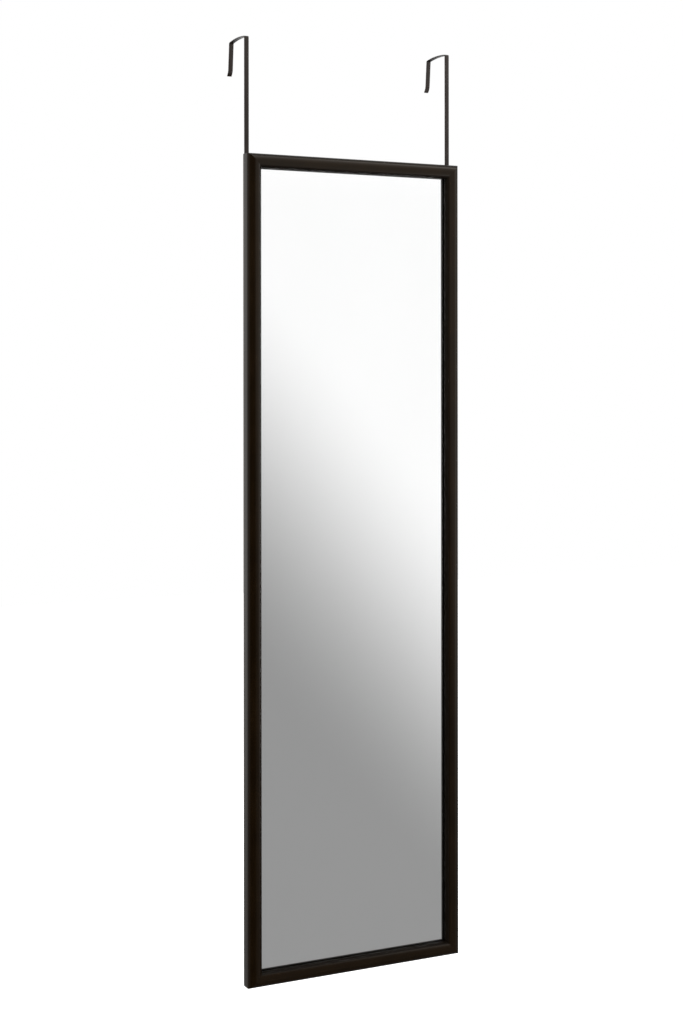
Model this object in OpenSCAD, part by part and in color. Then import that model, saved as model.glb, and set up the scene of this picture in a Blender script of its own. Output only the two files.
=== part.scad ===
// Over-the-door mirror: a mitred, round-nosed moulding round a silvered glass,
// a board over its back, and two bent steel straps that hook over a door.
// Origin: middle of the door's top edge, at the face that the mirror hangs on.
// +X to the viewer's right, +Y into the door, +Z up; the glass faces -Y.

/* [Frame] */
// Width over the outside of the frame
frame_w = 346.6; // [280:0.2:460]
// Height over the outside of the frame
frame_h = 1200; // [800:1:1600]
// Width of the moulding, from its outer side to the edge of the visible glass
moulding_w = 21.2; // [18:0.1:26]
// Depth of the moulding, from its crown to its flat back
moulding_d = 25; // [24:0.5:36]
// Distance of the crown from the outer side
crown_in = 10.5; // [8:0.1:12]
// How far the rounded nose falls back to the flat outer side
outer_fall = 11; // [6:0.1:18]
// How far the rounded nose falls back to the flat inner side
inner_fall = 10; // [7:0.1:11]
// Depth of the glass behind the crown
glass_depth = 13.1; // [11.5:0.1:15]
// Open line left at each mitre
mitre_gap = 0.1; // [0.05:0.05:0.3]

/* [Glass and back] */
// Thickness of the glass
glass_t = 3; // [2:0.5:3]
// How far the glass reaches under the lip of the moulding
glass_bearing = 6; // [4:0.5:7]
// Play between the edge of the glass and the rebate
glass_play = 0.5; // [0.3:0.1:1]
// Thickness of the silver and its backing paint
silver_t = 0.2; // [0.1:0.1:0.4]
// Thin line left between the glass and its silvering
silver_gap = 0.05; // [0.02:0.01:0.1]
// Thickness of the board over the back
board_t = 3.2; // [2:0.1:4]
// How far the board stays inside the frame's outline
board_inset = 1.5; // [0.5:0.5:2]

/* [Hooks] */
// Width of the steel strap
strap_w = 7; // [6:0.5:8]
// Thickness of the steel strap
strap_t = 1.5; // [1:0.1:2]
// Distance of the strap from the frame's outer side
strap_inset = 3.6; // [1:0.2:4]
// Height of the door's top above the frame
drop = 170.5; // [80:0.1:260]
// Length of strap that lies behind the frame
tail_len = 84; // [74:1:110]
// Thickest door with its play, from the pads' plane to the back leg
door_gap = 53.3; // [38:0.1:64]
// Inside radius of the two sharp bends
bend_r = 1; // [0.5:0.5:3]
// Slope of the arched bar where it leaves a bend, in degrees
bar_slope = 8; // [3:1:15]
// Straight length of the back leg
back_leg = 37; // [20:1:60]
// How far the back leg leans away from the door, in degrees
back_lean = 5; // [0:1:8]
// Radius of the flared tip
flare_r = 12; // [6:1:20]
// Turn of the flared tip, in degrees
flare_turn = 34; // [15:1:50]
// Straight end of the flared tip
flare_end = 3.5; // [1:0.5:8]

/* [Fasteners] */
// Thread diameter of the hook screws
screw_d = 3; // [2.5:0.1:3.5]
// Length of a hook screw under its head
screw_len = 16; // [12:1:20]
// Diameter of a hook screw's head
screw_head_d = 5.6; // [5:0.1:6]
// Height of a hook screw's head
screw_head_h = 1.6; // [1.2:0.1:2]
// Distance of the upper hook screw below the frame's top
screw_from_top = 34; // [30:1:45]
// Distance of the lower hook screw above the end of the strap
screw_from_tail = 12; // [6:1:24]
// Width of a staple, over its two legs
staple_w = 10; // [8:1:14]
// Thickness of the flat staple wire
staple_t = 0.6; // [0.4:0.1:1]
// Width of the flat staple wire
staple_wire_w = 1.2; // [0.8:0.1:1.6]
// Length of a staple's legs
staple_leg = 7; // [5:0.5:10]
// Staples along each long side
side_staples = 5; // [3:1:9]
// Staples along the top and along the bottom
end_staples = 2; // [2:1:4]
// Distance of the first staple below the tail of a hook
staple_below_tail = 20; // [8:1:60]
// Distance of the first staple from the corner, along the top and the bottom
end_staple_inset = 100; // [40:1:120]
// Distance of the outer corner nail from the outer side
nail_inset = 3; // [2:0.5:3]
// Length of each wing of a corner nail
nail_wing = 4; // [3:0.5:4.5]
// Thickness of a corner nail's sheet
nail_t = 0.4; // [0.3:0.1:0.6]
// Height of a corner nail
nail_h = 10; // [6:1:14]

/* [Door pads] */
// Diameter of the round felt pads
pad_d = 14; // [8:1:20]
// Thickness of the round felt pads
pad_t = 4; // [3.5:0.1:6]
// Distance of a pad's centre from the frame's sides
pad_inset_x = 24; // [22:1:40]
// Distance of a pad's centre from the frame's top or bottom
pad_inset_z = 24; // [14:1:60]

/* [Clearances] */
// Solid moulding left between the inner corner nail and the rebate
nail_margin = 1; // [0.5:0.1:2]
// Radial play of a screw in the strap and the board
screw_play = 0.2; // [0.1:0.05:0.4]
// Play round a screw, nail or staple that is driven into a piece
driven_play = 0.05; // [0.02:0.01:0.1]

/* [Hidden] */
$fn = 48;

// Steps in each quarter of the rounded nose, in each bend of a strap, and in its arch
NOSE_STEPS = 14;
BEND_STEPS = 8;
ARCH_STEPS = 16;
// A cut runs this far past the face that it opens
PAST = 1;
// Cross recess in a screw head: arm length as a share of the head, arm width, depth
RECESS_SPAN = 0.6;
RECESS_W = 0.7;
RECESS_D = 0.9;
// Top of a screw head and point of a screw, as shares of their full diameters
HEAD_TAPER = 0.8;
POINT_TAPER = 0.16;

ESPRESSO = [0.13, 0.11, 0.095];
BRONZE = [0.16, 0.14, 0.13];
STEEL = [0.62, 0.62, 0.6];
HARDBOARD = [0.42, 0.29, 0.18];
KRAFT = [0.7, 0.56, 0.4];

// Planes across the depth, from the door's face at y = 0
strap_front_y = -pad_t;
board_back_y = -pad_t;
frame_back_y = board_back_y - board_t;
frame_front_y = frame_back_y - moulding_d;
glass_front_y = frame_front_y + glass_depth;
silver_front_y = glass_front_y + glass_t + silver_gap;
card_front_y = silver_front_y + silver_t;

// Heights
frame_top = -drop;
frame_bottom = frame_top - frame_h;
frame_mid = (frame_top + frame_bottom) / 2;

// Rebate behind the lip, measured from the outer side of the moulding
land_w = moulding_w - glass_bearing - glass_play;
glass_w = frame_w - 2 * (moulding_w - glass_bearing);
glass_h = frame_h - 2 * (moulding_w - glass_bearing);
glass_bottom = frame_bottom + land_w;

// Corner nails along a mitre, and staples from the ends of the long sides
nail_places = [nail_inset, land_w - nail_margin - nail_wing];
side_staple_inset = tail_len + staple_below_tail;

// Straps and their screws
strap_x = frame_w / 2 - strap_inset - strap_w / 2;
screw_hole_d = screw_d + 2 * screw_play;
pilot_d = screw_d + 2 * driven_play;
tail_z = frame_top - tail_len;
screw_heights = [frame_top - screw_from_top, tail_z + screw_from_tail];
screw_in_frame = screw_len - strap_t - board_t;

// Moulding section as [depth, distance from the outer side]: flat outer side, a nose of
// two quarter ellipses that meet at the crown, flat inner side, and the rebate behind it
nose_outer = [for (i = [0 : NOSE_STEPS])
    let (a = 90 * i / NOSE_STEPS)
    [outer_fall * (1 - sin(a)), crown_in * (1 - cos(a))]];
nose_inner = [for (i = [1 : NOSE_STEPS])
    let (a = 90 * i / NOSE_STEPS)
    [inner_fall * (1 - cos(a)), crown_in + (moulding_w - crown_in) * sin(a)]];
rebate = [
    [glass_depth, moulding_w],
    [glass_depth, land_w],
    [moulding_d, land_w],
    [moulding_d, 0],
];
section = concat(nose_outer, nose_inner, rebate);

// Box from its two opposite corners
module box(low, high) {
    translate(low)
        cube(high - low);
}

// Length of moulding along X, mitred at both ends, outer side down, crown towards -Y
module mitred_moulding(len) {
    half = len / 2 - mitre_gap / 2;
    intersection() {
        translate([-len / 2, 0, 0])
            rotate([90, 0, 90])
                linear_extrude(len)
                    polygon(section);
        translate([0, moulding_d + PAST, 0])
            rotate([90, 0, 0])
                linear_extrude(moulding_d + 2 * PAST)
                    polygon([
                        [-half, 0],
                        [half, 0],
                        [half - moulding_w, moulding_w],
                        [-half + moulding_w, moulding_w],
                    ]);
    }
}

// Corner nail seen from behind: two wings at a right angle, across a mitre along +X +Z
module nail_outline(play) {
    wing = nail_wing + play;
    wide = nail_t + 2 * play;
    for (a = [0, 90])
        rotate(a)
            translate([-wide / 2, -wide / 2])
                square([wing + wide / 2, wide]);
}

// The two nails of one corner, as driven from behind; sx and sz say which corner
module corner_nails(sx, sz, play = 0) {
    for (u = nail_places)
        translate([
            sx * (frame_w / 2 - u),
            frame_back_y + play,
            sz > 0 ? frame_top - u : frame_bottom + u,
        ])
            turn_to_corner(sx, sz)
                rotate([90, 0, 0])
                    linear_extrude(nail_h + 2 * play)
                        nail_outline(play);
}

// Turns a shape drawn for the bottom left corner to face the middle of another corner
module turn_to_corner(sx, sz) {
    rotate([0, sx < 0 ? (sz < 0 ? 0 : 90) : (sz > 0 ? 180 : 270), 0])
        children();
}

// One staple across X at the origin, its crown on the plane y = 0 and legs towards -Y
module staple(play = 0) {
    leg_x = staple_w / 2 - staple_t;
    box(
        [-staple_w / 2 - play, -play, -staple_wire_w / 2 - play],
        [staple_w / 2 + play, staple_t + play, staple_wire_w / 2 + play]);
    for (s = [-1, 1])
        translate([s * (leg_x + staple_t / 2), 0, 0])
            box(
                [-staple_t / 2 - play, -staple_leg - play, -staple_wire_w / 2 - play],
                [staple_t / 2 + play, 0, staple_wire_w / 2 + play]);
}

// Evenly spaced places along a side of this length, the first and last this far in
function along(len, inset, count) = [for (i = [0 : count - 1])
    -len / 2 + inset + i * (len - 2 * inset) / (count - 1)];

// Staples down one long side; sx says which
module long_side_staples(sx, play = 0) {
    for (z = along(frame_h, side_staple_inset, side_staples))
        translate([sx * (frame_w / 2 - land_w / 2), board_back_y, frame_mid + z])
            rotate([0, 90, 0])
                staple(play);
}

// Staples along the top or the bottom; sz says which
module end_staple_row(sz, play = 0) {
    z = sz > 0 ? frame_top - land_w / 2 : frame_bottom + land_w / 2;
    for (x = along(frame_w, end_staple_inset, end_staples))
        translate([x, board_back_y, z])
            staple(play);
}

// Round holes for one hook's screws, from the strap forwards
module screw_holes(sx, d, back_y, depth) {
    for (z = screw_heights)
        translate([sx * strap_x, back_y, z])
            rotate([90, 0, 0])
                cylinder(d = d, h = depth);
}

// Pilot holes, slots and nail cuts in one piece of the frame
module driven_cuts() {
    for (sx = [-1, 1]) {
        screw_holes(sx, pilot_d, frame_back_y + PAST, screw_in_frame + 2 * PAST);
        long_side_staples(sx, driven_play);
        for (sz = [-1, 1])
            corner_nails(sx, sz, driven_play);
    }
    for (sz = [-1, 1])
        end_staple_row(sz, driven_play);
}

module top_rail() {
    color(ESPRESSO)
        difference() {
            translate([0, frame_front_y, frame_top])
                rotate([0, 180, 0])
                    mitred_moulding(frame_w);
            driven_cuts();
        }
}

module bottom_rail() {
    color(ESPRESSO)
        difference() {
            translate([0, frame_front_y, frame_bottom])
                mitred_moulding(frame_w);
            driven_cuts();
        }
}

// A stile: outer side out, crown towards the viewer; sx says which side
module stile(sx) {
    color(ESPRESSO)
        difference() {
            translate([sx * frame_w / 2, frame_front_y, frame_mid])
                rotate([0, -sx * 90, 0])
                    mitred_moulding(frame_h);
            driven_cuts();
        }
}

module left_stile() {
    stile(-1);
}

module right_stile() {
    stile(1);
}

// A sheet as large as the glass, standing on the rebate of the bottom rail
module sheet_in_rebate(front_y, back_y) {
    box(
        [-glass_w / 2, front_y, glass_bottom],
        [glass_w / 2, back_y, glass_bottom + glass_h]);
}

module mirror_glass() {
    color([0.75, 0.82, 0.8, 0.5])
        sheet_in_rebate(glass_front_y, glass_front_y + glass_t);
}

module silvering() {
    color([0.8, 0.82, 0.83])
        sheet_in_rebate(silver_front_y, silver_front_y + silver_t);
}

module packing_card() {
    color(KRAFT)
        sheet_in_rebate(card_front_y, frame_back_y);
}

module backing_board() {
    half_w = frame_w / 2 - board_inset;
    color(HARDBOARD)
        difference() {
            box(
                [-half_w, frame_back_y, frame_bottom + board_inset],
                [half_w, board_back_y, frame_top - board_inset]);
            for (sx = [-1, 1]) {
                screw_holes(sx, screw_hole_d, board_back_y + PAST, board_t + 2 * PAST);
                long_side_staples(sx, driven_play);
            }
            for (sz = [-1, 1])
                end_staple_row(sz, driven_play);
        }
}

// Strap centre line, seen from the side, as [y, z, heading] at each point; the ends of
// the arched bar's underside lie at z = 0
bend_mid_r = bend_r + strap_t / 2;
leg_y = strap_front_y + strap_t / 2;
bend_z = -bend_r * cos(bar_slope);
arch_chord = door_gap + strap_t / 2 * cos(back_lean) - leg_y
    - bend_mid_r * (1 + cos(back_lean) - 2 * sin(bar_slope));
arch_r = arch_chord / (2 * sin(bar_slope));

// Points along an arc that starts at p = [y, z, heading]; a negative turn is clockwise
function arc(p, r, turn, steps) = [for (i = [1 : steps])
    let (s = sign(turn), h = p[2] + turn * i / steps)
    [p[0] + s * r * (sin(h) - sin(p[2])), p[1] - s * r * (cos(h) - cos(p[2])), h]];

function ahead(p, len) = [[p[0] + len * cos(p[2]), p[1] + len * sin(p[2]), p[2]]];

function last(v) = v[len(v) - 1];

hook_up = [[leg_y, tail_z, 90], [leg_y, bend_z, 90]];
hook_front = concat(hook_up, arc(last(hook_up), bend_mid_r, bar_slope - 90, BEND_STEPS));
hook_bar = concat(hook_front, arc(last(hook_front), arch_r, -2 * bar_slope, ARCH_STEPS));
hook_kink = concat(
    hook_bar,
    arc(last(hook_bar), bend_mid_r, bar_slope + back_lean - 90, BEND_STEPS));
hook_leg = concat(hook_kink, ahead(last(hook_kink), back_leg));
hook_flare = concat(hook_leg, arc(last(hook_leg), flare_r, flare_turn, BEND_STEPS));
hook_line = concat(hook_flare, ahead(last(hook_flare), flare_end));

function beside(p, off) = [p[0] - off * sin(p[2]), p[1] + off * cos(p[2])];

hook_outline = concat(
    [for (p = hook_line) beside(p, strap_t / 2)],
    [for (i = [len(hook_line) - 1 : -1 : 0]) beside(hook_line[i], -strap_t / 2)]);

// One bent strap with its two screw holes; sx says which side
module hook(sx) {
    color(BRONZE)
        difference() {
            translate([sx * strap_x - strap_w / 2, 0, 0])
                rotate([90, 0, 90])
                    linear_extrude(strap_w)
                        polygon(hook_outline);
            screw_holes(sx, screw_hole_d, strap_front_y + strap_t + PAST, strap_t + 2 * PAST);
        }
}

module left_hook() {
    hook(-1);
}

module right_hook() {
    hook(1);
}

// Pan-head screw along Y: head on the plane y = 0, thread towards -Y
module pan_screw() {
    point_len = screw_d;
    rotate([90, 0, 0]) {
        cylinder(d = screw_d, h = screw_len - point_len);
        translate([0, 0, screw_len - point_len])
            cylinder(d1 = screw_d, d2 = screw_d * POINT_TAPER, h = point_len);
    }
    difference() {
        rotate([-90, 0, 0])
            cylinder(d1 = screw_head_d, d2 = screw_head_d * HEAD_TAPER, h = screw_head_h);
        for (a = [0, 90])
            rotate([0, a, 0])
                translate([0, screw_head_h - RECESS_D / 2 + PAST / 2, 0])
                    cube([screw_head_d * RECESS_SPAN, RECESS_D + PAST, RECESS_W], center = true);
    }
}

module hook_screws(sx) {
    color(STEEL)
        for (z = screw_heights)
            translate([sx * strap_x, strap_front_y + strap_t, z])
                pan_screw();
}

module left_hook_screws() {
    hook_screws(-1);
}

module right_hook_screws() {
    hook_screws(1);
}

module top_left_v_nails() {
    color(STEEL)
        corner_nails(-1, 1);
}

module top_right_v_nails() {
    color(STEEL)
        corner_nails(1, 1);
}

module bottom_left_v_nails() {
    color(STEEL)
        corner_nails(-1, -1);
}

module bottom_right_v_nails() {
    color(STEEL)
        corner_nails(1, -1);
}

module top_staples() {
    color(STEEL)
        end_staple_row(1);
}

module bottom_staples() {
    color(STEEL)
        end_staple_row(-1);
}

module left_staples() {
    color(STEEL)
        long_side_staples(-1);
}

module right_staples() {
    color(STEEL)
        long_side_staples(1);
}

// Round felt pad between the board and the door; sx and sz say which corner
module door_pad(sx, sz) {
    z = sz > 0 ? frame_top - pad_inset_z : frame_bottom + pad_inset_z;
    color([0.2, 0.2, 0.2])
        translate([sx * (frame_w / 2 - pad_inset_x), 0, z])
            rotate([90, 0, 0])
                cylinder(d = pad_d, h = pad_t);
}

module upper_left_pad() {
    door_pad(-1, 1);
}

module upper_right_pad() {
    door_pad(1, 1);
}

module lower_left_pad() {
    door_pad(-1, -1);
}

module lower_right_pad() {
    door_pad(1, -1);
}

top_rail();
bottom_rail();
left_stile();
right_stile();
mirror_glass();
silvering();
packing_card();
backing_board();
left_hook();
right_hook();
left_hook_screws();
right_hook_screws();
top_left_v_nails();
top_right_v_nails();
bottom_left_v_nails();
bottom_right_v_nails();
top_staples();
bottom_staples();
left_staples();
right_staples();
upper_left_pad();
upper_right_pad();
lower_left_pad();
lower_right_pad();
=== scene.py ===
"""Finishes and studio for an over-the-door mirror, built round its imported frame."""

import logging
import math
from collections.abc import Callable, Sequence
from dataclasses import dataclass
from enum import Enum

import bmesh
import bpy
from mathutils import Matrix, Vector, noise


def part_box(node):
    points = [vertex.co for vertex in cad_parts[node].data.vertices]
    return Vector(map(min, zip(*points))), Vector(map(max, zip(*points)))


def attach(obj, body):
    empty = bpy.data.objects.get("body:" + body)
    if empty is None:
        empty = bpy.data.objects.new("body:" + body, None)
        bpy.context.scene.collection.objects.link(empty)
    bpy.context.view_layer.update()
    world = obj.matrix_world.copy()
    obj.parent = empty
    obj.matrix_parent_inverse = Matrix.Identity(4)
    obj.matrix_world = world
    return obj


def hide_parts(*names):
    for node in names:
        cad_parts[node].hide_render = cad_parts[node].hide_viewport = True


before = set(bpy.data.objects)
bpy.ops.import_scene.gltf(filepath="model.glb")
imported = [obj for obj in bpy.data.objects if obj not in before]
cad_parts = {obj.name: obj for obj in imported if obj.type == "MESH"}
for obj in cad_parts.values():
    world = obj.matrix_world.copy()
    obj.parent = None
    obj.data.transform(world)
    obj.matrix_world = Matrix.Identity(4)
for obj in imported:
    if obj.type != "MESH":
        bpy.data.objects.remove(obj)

log = logging.getLogger("over_the_door_mirror")

MM = 0.001
BODY = "root"
MERGE_DISTANCE = 1e-6
QUARTER_TURN = math.pi / 2

Value = float | int | bool | str | Sequence[float] | bpy.types.NodeSocket | bpy.types.Material
Sockets = dict[str | int, Value]
Outputs = bpy.types.bpy_prop_collection
Pair = tuple[float, float]
Triple = tuple[float, float, float]
Colour = tuple[float, float, float, float]


class Slot(Enum):
    """The record's material slots, by name, for the finer pieces."""

    MOULDING = "moulding"
    HOOK_STEEL = "hook_steel"
    ZINC_STEEL = "zinc_steel"
    FELT = "felt"


class Side(Enum):
    """Left or right of the mirror's middle, as a sign on X."""

    LEFT = -1
    RIGHT = 1

    @property
    def word(self) -> str:
        """The side as a word, as the CAD nodes have it."""
        return self.name.lower()


def rgba(red: float, green: float, blue: float) -> Colour:
    """An opaque colour, in linear light."""
    return (red, green, blue, 1.0)


def label(name: str) -> str:
    """The name of a group's socket, from a keyword with underscores for spaces."""
    return name.replace("_", " ").capitalize()


WHITE = rgba(1.0, 1.0, 1.0)


# ---------------------------------------------------------------- node trees


class Graph:
    """Adds nodes to a tree, and sets or joins their sockets as it goes."""

    def __init__(self, tree: bpy.types.NodeTree) -> None:
        """Keeps the tree that the nodes go into."""
        self.tree = tree

    def join(self, node: bpy.types.Node, sockets: Sockets) -> bpy.types.Node:
        """Sets or joins a node's inputs.

        Args:
            node: The node.
            sockets: Inputs by name or index: a constant, or a socket to join.

        Returns:
            The same node.
        """
        for name, value in sockets.items():
            if isinstance(value, bpy.types.NodeSocket):
                self.tree.links.new(value, node.inputs[name])
            else:
                node.inputs[name].default_value = value
        return node

    def add(self, kind: str, sockets: Sockets | None = None, **options: Value) -> bpy.types.Node:
        """Adds one node.

        Args:
            kind: The node's type name.
            sockets: Its inputs, as for join.
            options: The node's own properties.

        Returns:
            The new node.
        """
        node = self.tree.nodes.new(kind)
        for name, value in options.items():
            setattr(node, name, value)
        return self.join(node, sockets or {})

    def maths(self, operation: str, *terms: Value) -> bpy.types.NodeSocket:
        """Adds a Math node on up to three terms and returns its result."""
        return self.add("ShaderNodeMath", dict(enumerate(terms)), operation=operation).outputs[0]

    def split(self, vector: Value) -> Outputs:
        """The X, Y and Z of a vector, by name."""
        return self.add("ShaderNodeSeparateXYZ", {0: vector}).outputs

    def vector(self, x: Value = 0.0, y: Value = 0.0, z: Value = 0.0) -> bpy.types.NodeSocket:
        """A vector made of three values."""
        return self.add("ShaderNodeCombineXYZ", {"X": x, "Y": y, "Z": z}).outputs[0]

    def moved(self, geometry: Value, position: Value) -> bpy.types.NodeSocket:
        """Geometry with its points at new positions."""
        node = self.add("GeometryNodeSetPosition", {"Geometry": geometry, "Position": position})
        return node.outputs[0]

    def speckle(self, place: Value, **values: Value) -> bpy.types.NodeSocket:
        """Noise at a place; its scale, detail and roughness are given by name."""
        sockets = {label(name): value for name, value in values.items()}
        return self.add("ShaderNodeTexNoise", {"Vector": place, **sockets}).outputs["Fac"]

    def ramp(self, value: Value, low: float, high: float, to_low: float = 0.0,
             to_high: float = 1.0) -> bpy.types.NodeSocket:
        """Maps a value smoothly from one range to another, clamped at both ends.

        Args:
            value: The socket to map.
            low: Where the input range starts.
            high: Where the input range ends.
            to_low: The result at the start.
            to_high: The result at the end.

        Returns:
            The mapped value's socket.
        """
        node = self.add(
            "ShaderNodeMapRange",
            {"Value": value, "From Min": low, "From Max": high,
             "To Min": to_low, "To Max": to_high},
            interpolation_type="SMOOTHSTEP")
        return node.outputs["Result"]

    def blend(self, share: Value, first: Value, second: Value) -> bpy.types.NodeSocket:
        """Mixes two colours.

        Args:
            share: How much of the second colour shows.
            first: The colour at 0.
            second: The colour at 1.

        Returns:
            The mixed colour's socket.
        """
        node = self.add("ShaderNodeMix", {0: share, 6: first, 7: second}, data_type="RGBA")
        return node.outputs[2]

    def object_place(self) -> bpy.types.NodeSocket:
        """The Object coordinates, in metres in the part's frame."""
        return self.add("ShaderNodeTexCoord").outputs["Object"]


def blank_graph(block: bpy.types.Material | bpy.types.World) -> Graph:
    """Gives a material or world an empty node tree.

    Args:
        block: The material or world.

    Returns:
        The tree's graph.
    """
    block.use_nodes = True
    block.node_tree.nodes.clear()
    return Graph(block.node_tree)


# ---------------------------------------------------------------- shared shader groups


@dataclass
class SharedEffect:
    """A shader node group with one output that several finishes use, built once."""

    name: str
    inputs: dict[str, float]
    output: str
    make: Callable[[Graph, Outputs], bpy.types.NodeSocket]
    built: bpy.types.NodeTree | None = None

    def tree(self) -> bpy.types.NodeTree:
        """Builds the group on its first use.

        Returns:
            The group's tree.
        """
        if self.built is None:
            self.built = bpy.data.node_groups.new(self.name, "ShaderNodeTree")
            sockets = self.built.interface
            for name, value in self.inputs.items():
                socket = sockets.new_socket(name, in_out="INPUT", socket_type="NodeSocketFloat")
                socket.default_value = value
            sockets.new_socket(self.output, in_out="OUTPUT", socket_type="NodeSocketFloat")
            graph = Graph(self.built)
            result = self.make(graph, graph.add("NodeGroupInput").outputs)
            graph.add("NodeGroupOutput", {0: result})
        return self.built

    def place(self, graph: Graph, **values: Value) -> bpy.types.NodeSocket:
        """Adds the group to a material.

        Args:
            graph: The material's graph.
            values: The group's inputs, with underscores for spaces.

        Returns:
            The socket of the group's output.
        """
        sockets = {label(name): value for name, value in values.items()}
        return graph.add("ShaderNodeGroup", sockets, node_tree=self.tree()).outputs[0]


def make_grain(graph: Graph, given: Outputs) -> bpy.types.NodeSocket:
    """Fills the grain group: noise that is drawn out along X, Y or Z by three stretches.

    Args:
        graph: The group's graph.
        given: The group's inputs.

    Returns:
        The noise's value.
    """
    stretch = graph.vector(given["Per metre x"], given["Per metre y"], given["Per metre z"])
    scaled = graph.add(
        "ShaderNodeVectorMath", {0: graph.object_place(), 1: stretch}, operation="MULTIPLY")
    return graph.speckle(
        scaled.outputs[0], scale=1.0, detail=given["Detail"], roughness=0.6)


def make_dust(graph: Graph, given: Outputs) -> bpy.types.NodeSocket:
    """Fills the dust group: a soft speckle on faces that look upwards.

    Args:
        graph: The group's graph.
        given: The group's inputs.

    Returns:
        The dust's mask.
    """
    upward = graph.split(graph.add("ShaderNodeNewGeometry").outputs["Normal"])["Z"]
    facing = graph.ramp(upward, low=0.35, high=1.0)
    speckle = graph.speckle(graph.object_place(), scale=380.0, detail=5.0, roughness=0.65)
    amount = graph.maths("MULTIPLY", facing, given["Amount"])
    return graph.maths("MULTIPLY", amount, graph.ramp(speckle, low=0.42, high=0.72))


def make_wear(graph: Graph, given: Outputs) -> bpy.types.NodeSocket:
    """Fills the wear group: broken rubbing where the piece's own rub attribute is high.

    Args:
        graph: The group's graph.
        given: The group's inputs.

    Returns:
        The wear's mask.
    """
    rub = graph.add("ShaderNodeAttribute", attribute_name="rub").outputs["Fac"]
    coarse = graph.speckle(graph.object_place(), scale=55.0, detail=4.0, roughness=0.7)
    strong = graph.maths("MULTIPLY", rub, given["Amount"])
    return graph.maths("MULTIPLY", strong, graph.ramp(coarse, low=0.45, high=0.68))


GRAIN = SharedEffect(
    "drawn_out_grain",
    {"Per metre x": 100.0, "Per metre y": 100.0, "Per metre z": 100.0, "Detail": 4.0},
    "Value", make_grain)
DUST = SharedEffect("settled_dust", {"Amount": 0.2}, "Mask", make_dust)
WEAR = SharedEffect("rubbed_edges", {"Amount": 0.3}, "Mask", make_wear)


# ---------------------------------------------------------------- finishes


@dataclass(frozen=True)
class Finish:
    """A surface finish: one material with its own node tree."""

    name: str

    def material(self) -> bpy.types.Material:
        """The finish's material, made on first use.

        Returns:
            The material.
        """
        known = bpy.data.materials.get(self.name)
        if known is not None:
            return known
        made = bpy.data.materials.new(self.name)
        made.use_nodes = True
        self.paint(Graph(made.node_tree), made.node_tree.nodes["Principled BSDF"])
        return made

    def paint(self, graph: Graph, shader: bpy.types.Node) -> None:
        """Sets the shader's sockets; each finish has its own.

        Args:
            graph: The material's graph.
            shader: Its Principled BSDF.
        """
        raise NotImplementedError

    @staticmethod
    def grain(graph: Graph, per_metre: Triple, detail: float = 4.0) -> bpy.types.NodeSocket:
        """Places the grain group.

        Args:
            graph: The material's graph.
            per_metre: How often the grain changes along X, Y and Z.
            detail: How many finer layers it has.

        Returns:
            The grain's value.
        """
        x, y, z = per_metre
        return GRAIN.place(graph, per_metre_x=x, per_metre_y=y, per_metre_z=z, detail=detail)

    @staticmethod
    def bump(graph: Graph, shader: bpy.types.Node, height: Value, depth: float,
             strength: float) -> None:
        """Joins a height to the shader's normal.

        Args:
            graph: The material's graph.
            shader: Its Principled BSDF.
            height: The height's socket, from 0 to 1.
            depth: What a height of 1 stands for, in metres.
            strength: How much of the bump shows.
        """
        node = graph.add(
            "ShaderNodeBump", {"Height": height, "Distance": depth, "Strength": strength})
        graph.join(shader, {"Normal": node.outputs["Normal"]})


@dataclass(frozen=True)
class MottledFinish(Finish):
    """A finish in which one grain blends two colours and stirs the surface.

    The ground shows where the grain is low and the mottle where it is high. The plain
    values go on the shader as they are, and depth and strength belong to the relief.
    """

    per_metre: Triple
    detail: float
    mottle_span: Pair
    ground: Colour
    mottle: Colour
    plain: tuple[tuple[str, float], ...]
    depth: float
    strength: float

    def paint(self, graph: Graph, shader: bpy.types.Node) -> None:
        """Blends the colours, sets the plain and varying sockets and adds the relief.

        Args:
            graph: The material's graph.
            shader: Its Principled BSDF.
        """
        grain = self.grain(graph, self.per_metre, self.detail)
        colour = graph.blend(graph.ramp(grain, *self.mottle_span), self.ground, self.mottle)
        graph.join(
            shader, {"Base Color": colour, **dict(self.plain), **self.varying(graph, grain)})
        if self.strength:
            self.bump(graph, shader, self.relief(graph, grain), self.depth, self.strength)

    def varying(self, graph: Graph, grain: Value) -> Sockets:
        """Further shader inputs that follow the grain; none unless a finish adds some."""
        return {}

    def relief(self, graph: Graph, grain: Value) -> Value:
        """The height of the surface; the grain itself unless a finish has its own."""
        return grain


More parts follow.
